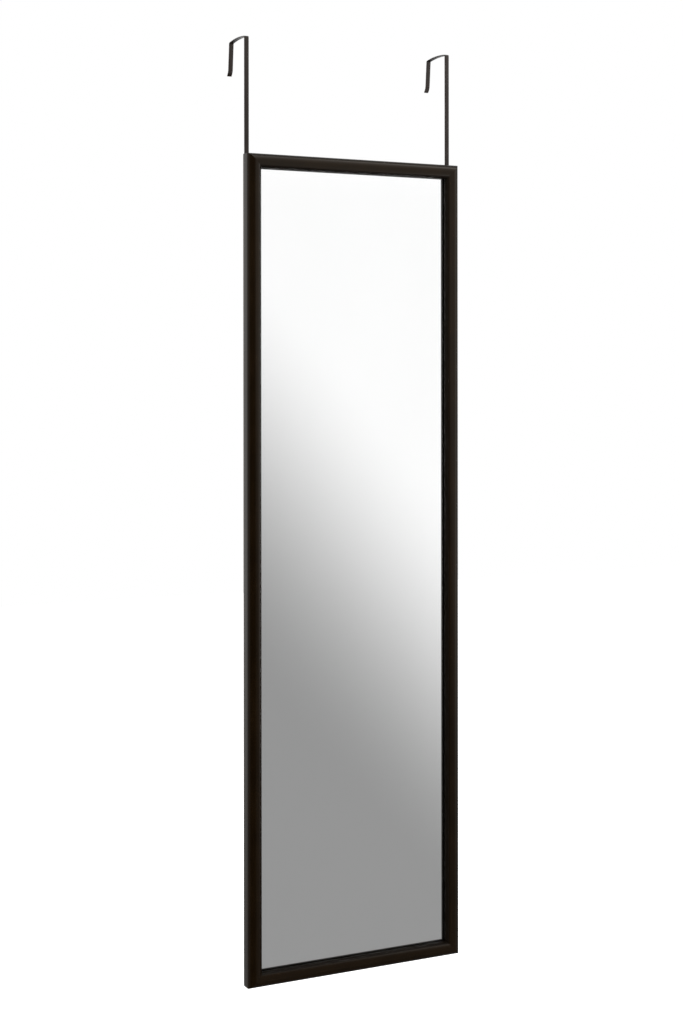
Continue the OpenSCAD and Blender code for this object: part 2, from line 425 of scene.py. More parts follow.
@dataclass(frozen=True)
class EspressoFoil(Finish):
    """Satin espresso film over the moulding, with a faint grain along its length."""

    along_x: bool
    dark: Colour = rgba(0.0046, 0.0022, 0.0005)
    light: Colour = rgba(0.0090, 0.0044, 0.0011)
    rubbed: Colour = rgba(0.0120, 0.0070, 0.0030)
    dusty: Colour = rgba(0.040, 0.037, 0.033)
    shine: float = 0.18
    shine_tint: Colour = rgba(1.0, 0.91, 0.80)
    fine: float = 2600.0
    drawn: float = 24.0
    cloudy: Triple = (11.0, 30.0, 11.0)
    peel: Triple = (900.0, 900.0, 900.0)
    peel_detail: float = 2.0
    tone_span: Pair = (0.14, 0.40)
    gloss_span: Pair = (0.3, 0.7)
    roughness: Pair = (0.15, 0.21)
    wear: float = 0.35
    dust: float = 0.22
    streak_height: float = 0.35
    depth: float = 0.04 * MM
    strength: float = 0.35

    def paint(self, graph: Graph, shader: bpy.types.Node) -> None:
        """Dark film with streaks, rubbed arrises, dust on top and a fine orange peel.

        Args:
            graph: The material's graph.
            shader: Its Principled BSDF.
        """
        x, z = (self.drawn, self.fine) if self.along_x else (self.fine, self.drawn)
        streaks = self.grain(graph, (x, self.fine, z))
        cloud = self.grain(graph, self.cloudy)
        peel = self.grain(graph, self.peel, self.peel_detail)
        tone = graph.maths("MULTIPLY", streaks, cloud)
        colour = graph.blend(graph.ramp(tone, *self.tone_span), self.dark, self.light)
        colour = graph.blend(WEAR.place(graph, amount=self.wear), colour, self.rubbed)
        dust = DUST.place(graph, amount=self.dust)
        colour = graph.blend(dust, colour, self.dusty)
        gloss = graph.ramp(cloud, *self.gloss_span, *self.roughness)
        graph.join(shader, {
            "Base Color": colour, "Roughness": graph.maths("ADD", gloss, dust),
            "Specular IOR Level": self.shine, "Specular Tint": self.shine_tint})
        height = graph.maths("MULTIPLY_ADD", streaks, self.streak_height, peel)
        self.bump(graph, shader, height, self.depth, self.strength)


@dataclass(frozen=True)
class DullLip(MottledFinish):
    """Painted shade at the inner edge past the film and in the rebate: dull black paint, brushed
    lengthwise.
    """

    per_metre: Triple = (24.0, 1900.0, 24.0)
    detail: float = 5.0
    mottle_span: Pair = (0.40, 0.65)
    # painted shade: dark tones that stand in for the shade at the inner edge and in the rebate
    ground: Colour = rgba(0.0052, 0.0034, 0.0018)
    mottle: Colour = rgba(0.0082, 0.0056, 0.0034)
    plain: tuple[tuple[str, float], ...] = (("Roughness", 0.48), ("Specular IOR Level", 0.10))
    depth: float = 0.05 * MM
    strength: float = 0.2


@dataclass(frozen=True)
class PowderCoat(Finish):
    """Dark bronze powder coat on the steel straps."""

    coat: Colour = rgba(0.0085, 0.0060, 0.0050)
    pale: Colour = rgba(0.0130, 0.0096, 0.0082)
    bare: Colour = rgba(0.16, 0.15, 0.14)
    shine: float = 0.26
    shine_tint: Colour = rgba(1.0, 0.92, 0.86)
    pebbled: Triple = (2400.0, 2400.0, 2400.0)
    pebble_detail: float = 3.0
    cloudy: Triple = (60.0, 60.0, 35.0)
    tone_span: Pair = (0.35, 0.65)
    gloss_span: Pair = (0.3, 0.7)
    roughness: Pair = (0.24, 0.34)
    wear: float = 0.30
    depth: float = 0.03 * MM
    strength: float = 0.5

    def paint(self, graph: Graph, shader: bpy.types.Node) -> None:
        """Fine pebbled coat, a little worn along the strap's edges.

        Args:
            graph: The material's graph.
            shader: Its Principled BSDF.
        """
        pebble = self.grain(graph, self.pebbled, self.pebble_detail)
        cloud = self.grain(graph, self.cloudy)
        colour = graph.blend(graph.ramp(cloud, *self.tone_span), self.coat, self.pale)
        worn = WEAR.place(graph, amount=self.wear)
        graph.join(shader, {
            "Base Color": graph.blend(worn, colour, self.bare), "Metallic": worn,
            "Roughness": graph.ramp(pebble, *self.gloss_span, *self.roughness),
            "Specular IOR Level": self.shine, "Specular Tint": self.shine_tint})
        self.bump(graph, shader, pebble, self.depth, self.strength)


@dataclass(frozen=True)
class FloatGlass(MottledFinish):
    """Clear float glass with a trace of green, and the faintest wiping marks in its tint."""

    per_metre: Triple = (9.0, 9.0, 3.0)
    detail: float = 4.0
    mottle_span: Pair = (0.55, 0.85)
    ground: Colour = rgba(0.996, 0.998, 0.997)
    mottle: Colour = rgba(0.990, 0.993, 0.991)
    plain: tuple[tuple[str, float], ...] = (
        ("Roughness", 0.0), ("IOR", 1.5), ("Transmission Weight", 1.0))
    depth: float = 0.0
    strength: float = 0.0


@dataclass(frozen=True)
class SilveredBack(MottledFinish):
    """The bright silver layer behind the glass, with the slow waviness of float glass."""

    per_metre: Triple = (5.0, 5.0, 2.5)
    detail: float = 4.0
    mottle_span: Pair = (0.35, 0.65)
    ground: Colour = rgba(0.992, 0.992, 0.992)
    mottle: Colour = rgba(0.984, 0.984, 0.984)
    plain: tuple[tuple[str, float], ...] = (("Metallic", 1.0), ("Roughness", 0.004))
    depth: float = 0.02 * MM
    strength: float = 0.2


@dataclass(frozen=True)
class PackingCard(MottledFinish):
    """Brown corrugated card, with its flutes showing faintly through the liner."""

    per_metre: Triple = (500.0, 500.0, 160.0)
    detail: float = 7.0
    mottle_span: Pair = (0.55, 0.80)
    ground: Colour = rgba(0.45, 0.31, 0.19)
    mottle: Colour = rgba(0.30, 0.19, 0.11)
    plain: tuple[tuple[str, float], ...] = (("Roughness", 0.8),)
    depth: float = 0.1 * MM
    strength: float = 0.5
    flute_pitch: float = 6.5 * MM
    flute_height: float = 0.5

    def relief(self, graph: Graph, grain: Value) -> bpy.types.NodeSocket:
        """Ridges that run up the sheet, under the fibres.

        Args:
            graph: The material's graph.
            grain: The fibres' height.

        Returns:
            The height of ridges and fibres together.
        """
        across = graph.split(graph.object_place())["X"]
        ridge = graph.maths("SINE", graph.maths("MULTIPLY", across, math.tau / self.flute_pitch))
        return graph.maths("MULTIPLY_ADD", ridge, self.flute_height, grain)


@dataclass(frozen=True)
class Hardboard(Finish):
    """Brown hardboard with the print of the pressing screen on its back."""

    fibre: Colour = rgba(0.195, 0.110, 0.057)
    pale: Colour = rgba(0.330, 0.205, 0.115)
    fleck: Colour = rgba(0.085, 0.045, 0.024)
    matted: Triple = (420.0, 420.0, 190.0)
    matted_detail: float = 8.0
    cloudy: Triple = (14.0, 14.0, 9.0)
    cloud_share: float = 0.5
    tone_span: Pair = (0.52, 1.0)
    flecks_per_metre: float = 330.0
    fleck_span: Pair = (0.10, 0.24)
    fleck_share: float = 0.55
    roughness: float = 0.72
    mesh_pitch: float = 1.6 * MM
    mesh_depth: float = 0.12 * MM
    mesh_height: float = 0.5
    fibre_height: float = 0.8
    strength: float = 0.6

    def paint(self, graph: Graph, shader: bpy.types.Node) -> None:
        """Matted fibres with dark flecks, pressed with a fine square mesh.

        Args:
            graph: The material's graph.
            shader: Its Principled BSDF.
        """
        place = graph.object_place()
        fibres = self.grain(graph, self.matted, self.matted_detail)
        cloud = self.grain(graph, self.cloudy)
        tone = graph.maths("MULTIPLY_ADD", cloud, self.cloud_share, fibres)
        colour = graph.blend(graph.ramp(tone, *self.tone_span), self.fibre, self.pale)
        flecks = graph.add(
            "ShaderNodeTexVoronoi",
            {"Vector": place, "Scale": self.flecks_per_metre, "Randomness": 1.0}, feature="F1")
        spots = graph.ramp(flecks.outputs["Distance"], *self.fleck_span, self.fleck_share, 0.0)
        colour = graph.blend(spots, colour, self.fleck)
        axes = graph.split(place)
        waves = [
            graph.maths("SINE", graph.maths("MULTIPLY", axes[axis], math.tau / self.mesh_pitch))
            for axis in ("X", "Z")]
        weave = graph.maths("MULTIPLY", *waves)
        pressed = graph.maths("MULTIPLY_ADD", weave, self.mesh_height, self.mesh_height)
        height = graph.maths("MULTIPLY_ADD", fibres, self.fibre_height, pressed)
        graph.join(shader, {"Base Color": colour, "Roughness": self.roughness})
        self.bump(graph, shader, height, self.mesh_depth, self.strength)


@dataclass(frozen=True)
class ZincPlate(MottledFinish):
    """Cloudy bright zinc with fine drawing marks, on screws, staples and corner nails."""

    per_metre: Triple = (700.0, 700.0, 700.0)
    detail: float = 3.0
    mottle_span: Pair = (0.35, 0.65)
    ground: Colour = rgba(0.62, 0.62, 0.60)
    mottle: Colour = rgba(0.44, 0.44, 0.43)
    plain: tuple[tuple[str, float], ...] = (("Metallic", 1.0),)
    depth: float = 0.01 * MM
    strength: float = 0.4
    gloss_span: Pair = (0.3, 0.7)
    roughness: Pair = (0.24, 0.42)
    marked: Triple = (500.0, 9000.0, 6000.0)
    mark_detail: float = 2.0

    def varying(self, graph: Graph, grain: Value) -> Sockets:
        """Duller where the zinc is cloudy."""
        return {"Roughness": graph.ramp(grain, *self.gloss_span, *self.roughness)}

    def relief(self, graph: Graph, grain: Value) -> bpy.types.NodeSocket:
        """The marks of wire drawing."""
        return self.grain(graph, self.marked, self.mark_detail)


@dataclass(frozen=True)
class PressedFelt(MottledFinish):
    """Dark grey pressed felt on the door pads: tangled hairs with a soft sheen."""

    per_metre: Triple = (2800.0, 1500.0, 2100.0)
    detail: float = 6.0
    mottle_span: Pair = (0.35, 0.65)
    ground: Colour = rgba(0.030, 0.029, 0.028)
    mottle: Colour = rgba(0.085, 0.083, 0.080)
    plain: tuple[tuple[str, float], ...] = (
        ("Roughness", 0.92), ("Sheen Weight", 0.4), ("Sheen Roughness", 0.6))
    depth: float = 0.3 * MM
    strength: float = 0.8


@dataclass(frozen=True)
class PaleFloor(Finish):
    """A matt floor that looks white to the eye and keeps the mirror's shadow."""

    pale: Colour = rgba(0.80, 0.80, 0.80)
    roughness: float = 0.9
    lift: float = 0.62

    def paint(self, graph: Graph, shader: bpy.types.Node) -> None:
        """Matt and without gloss, with a little light of its own for the eye alone.

        Args:
            graph: The material's graph.
            shader: Its Principled BSDF.
        """
        seen = graph.add("ShaderNodeLightPath").outputs["Is Camera Ray"]
        graph.join(shader, {
            "Base Color": self.pale, "Roughness": self.roughness, "Specular IOR Level": 0.0,
            "Emission Color": WHITE, "Emission Strength": graph.maths("MULTIPLY", seen, self.lift)})


FILM_ACROSS = EspressoFoil("espresso_film_across", along_x=True)
FILM_UP = EspressoFoil("espresso_film_up", along_x=False)
# painted shade for the moulding's inner edge and rebate
SHADED_LIP = DullLip("dull_lip")
POWDER_COAT = PowderCoat("bronze_powder_coat")
GLASS = FloatGlass("float_glass")
SILVER = SilveredBack("silvered_back")
CARD = PackingCard("corrugated_card")
HARDBOARD = Hardboard("screen_backed_hardboard")
ZINC = ZincPlate("bright_zinc")
FELT = PressedFelt("pressed_felt")
PALE_FLOOR = PaleFloor("pale_floor")


# ---------------------------------------------------------------- geometry recipes


SIDE_CUTS = 5


class Recipe:
    """A Geometry Nodes tree with named inputs, which turns an outline into a mesh."""

    def __init__(self, name: str, inputs: dict[str, str]) -> None:
        """Starts the tree.

        Args:
            name: The tree's name.
            inputs: Kinds of socket by input name, between the geometry and the material.
        """
        self.tree = bpy.data.node_groups.new(name, "GeometryNodeTree")
        sockets = self.tree.interface
        for way in ("INPUT", "OUTPUT"):
            sockets.new_socket("Geometry", in_out=way, socket_type="NodeSocketGeometry")
        self.keys = {
            title: sockets.new_socket(
                title, in_out="INPUT", socket_type=f"NodeSocket{kind}").identifier
            for title, kind in {**inputs, "Material": "Material"}.items()}
        self.graph = Graph(self.tree)
        self.given = self.graph.add("NodeGroupInput").outputs

    def end_with(self, geometry: Value) -> None:
        """Realizes the instances, sets the material and joins the output.

        Args:
            geometry: The finished geometry's socket.
        """
        real = self.graph.add("GeometryNodeRealizeInstances", {"Geometry": geometry})
        dressed = self.graph.add(
            "GeometryNodeSetMaterial",
            {"Geometry": real.outputs[0], "Material": self.given["Material"]})
        self.graph.add("NodeGroupOutput", {0: dressed.outputs[0]})

    def cook(self, piece: bpy.types.Object, **values: Value) -> None:
        """Runs the tree on a piece and leaves it a plain mesh.

        Args:
            piece: The object whose mesh is the tree's input.
            values: The tree's inputs, with underscores for spaces.
        """
        modifier = piece.modifiers.new(self.tree.name, "NODES")
        modifier.node_group = self.tree
        for name, value in values.items():
            modifier[self.keys[label(name)]] = value
        make_plain(piece)


def make_plain(piece: bpy.types.Object) -> None:
    """Replaces a piece's mesh by its evaluated one, and removes its modifiers.

    Args:
        piece: The object to flatten.
    """
    bpy.context.view_layer.update()
    depsgraph = bpy.context.evaluated_depsgraph_get()
    mesh = bpy.data.meshes.new_from_object(piece.evaluated_get(depsgraph), depsgraph=depsgraph)
    piece.modifiers.clear()
    if mesh.materials and mesh.materials[0] is None:
        mesh.materials.pop(index=0)
    old = piece.data
    piece.data = mesh
    mesh.name = piece.name
    bpy.data.meshes.remove(old)


def mitred_length_recipe() -> Recipe:
    """A section face, moved to both mitred ends and joined by a skin along X.

    Returns:
        The recipe; its section lies in the plane X = 0, with Z from the outer side in.
    """
    recipe = Recipe("mitred_length", {"Half length": "Float", "Rows": "Int"})
    graph, given = recipe.graph, recipe.given
    section = given["Geometry"]
    place = graph.add("GeometryNodeInputPosition").outputs[0]
    at = graph.split(place)
    reach = graph.maths("SUBTRACT", given["Half length"], at["Z"])
    start, end = (
        graph.moved(section, graph.vector(graph.maths("MULTIPLY", reach, sign), at["Y"], at["Z"]))
        for sign in (-1.0, 1.0))
    turned = graph.add("GeometryNodeFlipFaces", {"Mesh": start})
    count = graph.add(
        "GeometryNodeAttributeDomainSize", {"Geometry": section}).outputs["Point Count"]
    columns = graph.maths("ADD", count, 1.0)
    grid = graph.add(
        "GeometryNodeMeshGrid", {"Vertices X": given["Rows"], "Vertices Y": columns})
    index = graph.add("GeometryNodeInputIndex").outputs[0]
    row = graph.maths("FLOOR", graph.maths("DIVIDE", graph.maths("ADD", index, 0.5), columns))
    column = graph.maths("SUBTRACT", index, graph.maths("MULTIPLY", row, columns))
    sample = graph.add(
        "GeometryNodeSampleIndex",
        {"Geometry": section, "Value": place, "Index": graph.maths("MODULO", column, count)},
        data_type="FLOAT_VECTOR", domain="POINT")
    point = graph.split(sample.outputs[0])
    last_row = graph.maths("SUBTRACT", given["Rows"], 1.0)
    share = graph.maths("MULTIPLY_ADD", graph.maths("DIVIDE", row, last_row), 2.0, -1.0)
    half = graph.maths("SUBTRACT", given["Half length"], point["Z"])
    skin = graph.moved(
        grid.outputs["Mesh"],
        graph.vector(graph.maths("MULTIPLY", share, half), point["Y"], point["Z"]))
    joined = graph.add("GeometryNodeJoinGeometry")
    for part in (skin, turned.outputs[0], end):
        graph.join(joined, {0: part})
    merged = graph.add(
        "GeometryNodeMergeByDistance",
        {"Geometry": joined.outputs[0], "Distance": MERGE_DISTANCE})
    recipe.end_with(merged.outputs[0])
    return recipe


def flat_wire_recipe() -> Recipe:
    """A flat wire or strap, rounded at its edges, swept along a bent line.

    Returns:
        The recipe; the line is flat, and its first step sets which way the width lies.
    """
    recipe = Recipe("flat_wire", {
        "Width": "Float", "Thickness": "Float", "Edge radius": "Float", "Edge steps": "Int",
        "Thinning": "Float"})
    graph, given = recipe.graph, recipe.given
    oblong = graph.add(
        "GeometryNodeCurvePrimitiveQuadrilateral",
        {"Width": given["Width"], "Height": given["Thickness"]})
    finer = graph.add(
        "GeometryNodeSubdivideCurve", {"Curve": oblong.outputs[0], "Cuts": SIDE_CUTS})
    rounded = graph.add(
        "GeometryNodeFilletCurve",
        {"Curve": finer.outputs[0], "Count": given["Edge steps"],
         "Radius": given["Edge radius"], "Limit Radius": True}, mode="POLY")
    at = graph.split(graph.add("GeometryNodeInputPosition").outputs[0])
    half_width = graph.maths("MULTIPLY", given["Width"], 0.5)
    across = graph.maths("DIVIDE", at["X"], half_width)
    loss = graph.maths("MULTIPLY", graph.maths("MULTIPLY", across, across), given["Thinning"])
    height = graph.maths("MULTIPLY", at["Y"], graph.maths("SUBTRACT", 1.0, loss))
    crowned = graph.moved(rounded.outputs[0], graph.vector(at["X"], height))
    path = graph.add("GeometryNodeMeshToCurve", {"Mesh": given["Geometry"]})
    swept = graph.add(
        "GeometryNodeCurveToMesh",
        {"Curve": path.outputs[0], "Profile Curve": crowned, "Fill Caps": True})
    recipe.end_with(swept.outputs[0])
    return recipe


def row_recipe() -> Recipe:
    """Copies of one small piece at even steps, each turned a trifle by a fixed seed.

    Returns:
        The recipe; the piece is drawn at the origin.
    """
    recipe = Recipe("row_of_pieces", {
        "Count": "Int", "First": "Vector", "Step": "Vector", "Turn": "Float", "Seed": "Int"})
    graph, given = recipe.graph, recipe.given
    line = graph.add(
        "GeometryNodeMeshLine",
        {"Count": given["Count"], "Start Location": given["First"], "Offset": given["Step"]},
        mode="OFFSET")
    least = graph.maths("MULTIPLY", given["Turn"], -1.0)
    drift = graph.add(
        "FunctionNodeRandomValue",
        {"Min": least, "Max": given["Turn"], "Seed": given["Seed"]}, data_type="FLOAT")
    random_turn = next(s for s in drift.outputs if s.enabled)
    copies = graph.add(
        "GeometryNodeInstanceOnPoints",
        {"Points": line.outputs[0], "Instance": given["Geometry"],
         "Rotation": graph.vector(y=random_turn)})
    recipe.end_with(copies.outputs[0])
    return recipe


MITRED_LENGTH = mitred_length_recipe()
FLAT_WIRE = flat_wire_recipe()
ROW = row_recipe()


# ---------------------------------------------------------------- mesh helpers


SQUARE = ((-1, -1), (1, -1), (1, 1), (-1, 1))


def new_object(name: str, data: bpy.types.ID) -> bpy.types.Object:
    """Makes an object and links it to the scene.

    Args:
        name: The object's name.
        data: Its mesh, camera or lamp.

    Returns:
        The object, at the origin.
    """
    made = bpy.data.objects.new(name, data)
    bpy.context.scene.collection.objects.link(made)
    return made


def new_piece(name: str, points: Sequence[Sequence[float]],
              edges: Sequence[Sequence[int]] = (),
              faces: Sequence[Sequence[int]] = ()) -> bpy.types.Object:
    """Makes an object at the origin from points, edges and faces.

    Args:
        name: The piece's name.
        points: Its points, in metres.
        edges: Pairs of point numbers.
        faces: Loops of point numbers.

    Returns:
        The object, linked to the scene.
    """
    mesh = bpy.data.meshes.new(name)
    mesh.from_pydata([tuple(p) for p in points], list(edges), list(faces))
    return new_object(name, mesh)


def new_line(name: str, points: Sequence[Vector]) -> bpy.types.Object:
    """Makes a piece that is only a line through some points."""
    return new_piece(name, points, edges=[(i, i + 1) for i in range(len(points) - 1)])


def new_square(name: str, reach: float, middle: Vector, up: Vector) -> bpy.types.Object:
    """Makes a flat square with two sides along X.

    Args:
        name: The piece's name.
        reach: Half of its side.
        middle: Its middle.
        up: Which way its other sides run.

    Returns:
        The square.
    """
    corners = [middle + Vector((reach * x, 0, 0)) + up * (reach * y) for x, y in SQUARE]
    return new_piece(name, corners, faces=[(0, 1, 2, 3)])


def quarter_angles(steps: int) -> list[float]:
    """Even angles from nothing to a quarter turn, both ends included."""
    return [QUARTER_TURN * i / steps for i in range(steps + 1)]


def turned_piece(name: str, profile: Sequence[Pair], around: int) -> bpy.types.Object:
    """Turns a profile about Y.

    Args:
        name: The piece's name.
        profile: Points as (radius, distance along Y); the first and the last are on the axis.
        around: How many points each ring has.

    Returns:
        The closed piece.
    """
    points = [(0.0, profile[0][1], 0.0)]
    for radius, along in profile[1:-1]:
        points += [
            (radius * math.cos(a), along, radius * math.sin(a))
            for a in (math.tau * i / around for i in range(around))]
    points.append((0.0, profile[-1][1], 0.0))
    rings = range(1, len(points) - 1, around)
    faces = []
    for i in range(around):
        j = (i + 1) % around
        faces.append((0, 1 + i, 1 + j))
        faces += [(ring + i, ring + around + i, ring + around + j, ring + j)
                  for ring in rings[:-1]]
        faces.append((rings[-1] + i, len(points) - 1, rings[-1] + j))
    return new_piece(name, points, faces=faces)


def tidy_mesh(piece: bpy.types.Object, sharp_degrees: float) -> None:
    """Merges doubles, turns the faces outwards and shades the piece smooth.

    Args:
        piece: The object with a closed mesh.
        sharp_degrees: Edges that turn more than this stay crisp.
    """
    shape = bmesh.new()
    shape.from_mesh(piece.data)
    bmesh.ops.remove_doubles(shape, verts=shape.verts, dist=MERGE_DISTANCE)
    bmesh.ops.recalc_face_normals(shape, faces=shape.faces)
    shape.to_mesh(piece.data)
    shape.free()
    piece.data.shade_smooth()
    piece.data.set_sharp_from_angle(angle=math.radians(sharp_degrees))


def store_rub(piece: bpy.types.Object, amount: Callable[[Vector], float]) -> None:
    """Stores how much each point of a piece is rubbed, for the wear group.

    Args:
        piece: The piece.
        amount: The rubbing at a place; less than nothing counts as nothing.
    """
    rub = piece.data.attributes.new("rub", "FLOAT", "POINT")
    rub.data.foreach_set("value", [max(0.0, amount(v.co)) for v in piece.data.vertices])


def settle(piece: bpy.types.Object, slot: Slot, *nodes: str) -> None:
    """Rides a finished piece on the mirror in place of CAD nodes.

    Args:
        piece: The finished piece.
        slot: The record's slot for its material; not used.
        nodes: The CAD nodes that it stands for.
    """
    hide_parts(*nodes)
    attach(piece, BODY)
    log.info("%s: %d faces, stands for %s", piece.name, len(piece.data.polygons),
             ", ".join(nodes))


def dress_node(node: str, finish: Finish) -> None:
    """Gives a CAD node its finish.

    Args:
        node: The node's name.
        finish: The finish for all its slots.
    """
    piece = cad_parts[node]
    for slot in piece.material_slots:
        slot.material = finish.material()
    log.info("%s: dressed in %s", node, finish.name)


def rounded_corner(before: Vector, corner: Vector, after: Vector, radius: float,
                   steps: int) -> list[Vector]:
    """Points of the arc that rounds one corner of an outline.

    Args:
        before: The point before the corner.
        corner: The corner itself.
        after: The point after it.
        radius: The arc's radius.
        steps: Points on the arc, less one.

    Returns:
        The arc's points, in order.
    """
    arm_in = (before - corner).normalized()
    arm_out = (after - corner).normalized()
    half_angle = arm_in.angle(arm_out) / 2
    reach = radius / math.tan(half_angle)
    middle = corner + (arm_in + arm_out).normalized() * radius / math.sin(half_angle)
    start = corner + arm_in * reach - middle
    end = corner + arm_out * reach - middle
    whole = start.angle(end)
    return [
        middle + (start * math.sin(whole * (1 - i / steps)) + end * math.sin(whole * i / steps))
        / math.sin(whole)
        for i in range(steps + 1)]


# ---------------------------------------------------------------- the moulding


@dataclass
class MouldingFrame:
    """Four mitred lengths of round-nosed moulding round the glass."""

    width: float = 21.2 * MM
    depth: float = 25.0 * MM
    crown_in: float = 10.5 * MM
    outer_fall: float = 11.0 * MM
    inner_fall: float = 10.0 * MM
    lip_depth: float = 13.1 * MM
    land: float = 14.7 * MM
    # painted shade: how far in from the glass the inner side is painted dark in place of its shade
    bare_edge: float = 2.7 * MM
    lip_round: float = 0.5 * MM
    back_round: float = 0.9 * MM
    crown_rub: float = 1.6 * MM
    crown_rub_depth: float = 1.0 * MM
    back_rub: float = 1.2 * MM
    slack: float = 0.1 * MM
    nose_steps: int = 26
    round_steps: int = 5
    rows: int = 40
    sharp_degrees: float = 35.0

    def section(self) -> list[Vector]:
        """Draws the moulding's outline.

        Returns:
            Its points as (0, depth, distance from the outer side).
        """
        quarter = quarter_angles(self.nose_steps)
        outer = [
            Vector((0, self.outer_fall * (1 - math.sin(a)), self.crown_in * (1 - math.cos(a))))
            for a in quarter]
        rest_in = self.width - self.crown_in
        inner = [
            Vector((0, self.inner_fall * (1 - math.cos(a)), self.crown_in + rest_in * math.sin(a)))
            for a in quarter[1:]]
        lip = Vector((0, self.lip_depth, self.width))
        rebate = Vector((0, self.lip_depth, self.land))
        back_in = Vector((0, self.depth, self.land))
        back_out = Vector((0, self.depth, 0))
        lip_arc = rounded_corner(inner[-1], lip, rebate, self.lip_round, self.round_steps)
        back_arc = rounded_corner(back_in, back_out, outer[0], self.back_round, self.round_steps)
        return outer + inner + lip_arc + [rebate, back_in] + back_arc

    def length(self, node: str, finish: Finish, run: float, turn: float, place: Vector) -> None:
        """Makes one mitred length.

        Args:
            node: The CAD node that it replaces.
            finish: The film on its face.
            run: Its length over the outer side.
            turn: Its turn about Y, in radians, from lying along X with its outer side down.
            place: The middle of its outer side, at the crown's depth.
        """
        points = self.section()
        piece = new_piece(
            f"moulding_{node.split('_')[0]}", points, faces=[list(range(len(points)))])
        MITRED_LENGTH.cook(
            piece, half_length=run / 2, rows=self.rows, material=finish.material())
        store_rub(piece, self.rub)
        self.paint_lip(piece)
        piece.data.transform(Matrix.Translation(place) @ Matrix.Rotation(turn, 4, "Y"))
        tidy_mesh(piece, self.sharp_degrees)
        settle(piece, Slot.MOULDING, node)

    def rub(self, place: Vector) -> float:
        """How much hands rub a spot: along the crown and along the back arris.

        Args:
            place: The spot, on a length that lies along X.

        Returns:
            1 where it is rubbed most, and 0 or less where it isn't.
        """
        crown = 1.0 - abs(place.z - self.crown_in) / self.crown_rub
        back = 1.0 - (self.depth - place.y + place.z) / self.back_rub
        return max(crown if place.y < self.crown_rub_depth else 0.0, back)

    def paint_lip(self, piece: bpy.types.Object) -> None:
        """Paints the inner side, where the film stops short of the glass, and the rebate dull black
        as painted shade.

        Args:
            piece: The length, still lying along X.
        """
        shade_slot = len(piece.data.materials)
        piece.data.materials.append(SHADED_LIP.material())
        for face in piece.data.polygons:
            depth, inward = face.center.y, face.center.z
            in_rebate = inward > self.land - self.slack and (
                self.lip_depth - self.slack < depth < self.depth - self.slack)
            # painted shade: faces near the glass and in the rebate take the dark paint
            if len(face.vertices) == 4 and (inward > self.width - self.bare_edge or in_rebate):
                face.material_index = shade_slot

    def build(self) -> None:
        """Makes the two rails and the two stiles where the CAD nodes stand."""
        for node, turn in (("bottom_rail", 0.0), ("top_rail", math.pi)):
            low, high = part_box(node)
            outer = high.z if turn else low.z
            self.length(node, FILM_ACROSS, high.x - low.x, turn,
                        Vector(((low.x + high.x) / 2, low.y, outer)))
        for side in Side:
            node = f"{side.word}_stile"
            low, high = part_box(node)
            outer = low.x if side is Side.LEFT else high.x
            self.length(node, FILM_UP, high.z - low.z, -side.value * QUARTER_TURN,
                        Vector((outer, low.y, (low.z + high.z) / 2)))


# ---------------------------------------------------------------- hooks


@dataclass
class StrapWalk:
    """A walk in the plane X = 0 that leaves evenly spaced points behind."""

    points: list[Vector]
    heading: float

    def ahead(self, distance: float, steps: int) -> None:
        """Goes straight on.

        Args:
            distance: How far.
            steps: Points to leave on the way.
        """
        step = Vector((0, math.cos(self.heading), math.sin(self.heading))) * distance / steps
        for _ in range(steps):
            self.points.append(self.points[-1] + step)

    def turn(self, radius: float, angle: float, steps: int) -> None:
        """Goes round an arc.

        Args:
            radius: The arc's radius.
            angle: How far it turns, in radians; negative is clockwise.
            steps: Points to leave on the way.
        """
        sign = math.copysign(1.0, angle)
        for _ in range(steps):
            old = self.heading
            self.heading += angle / steps
            self.points.append(self.points[-1] + Vector((
                0,
                sign * radius * (math.sin(self.heading) - math.sin(old)),
                -sign * radius * (math.cos(self.heading) - math.cos(old)))))


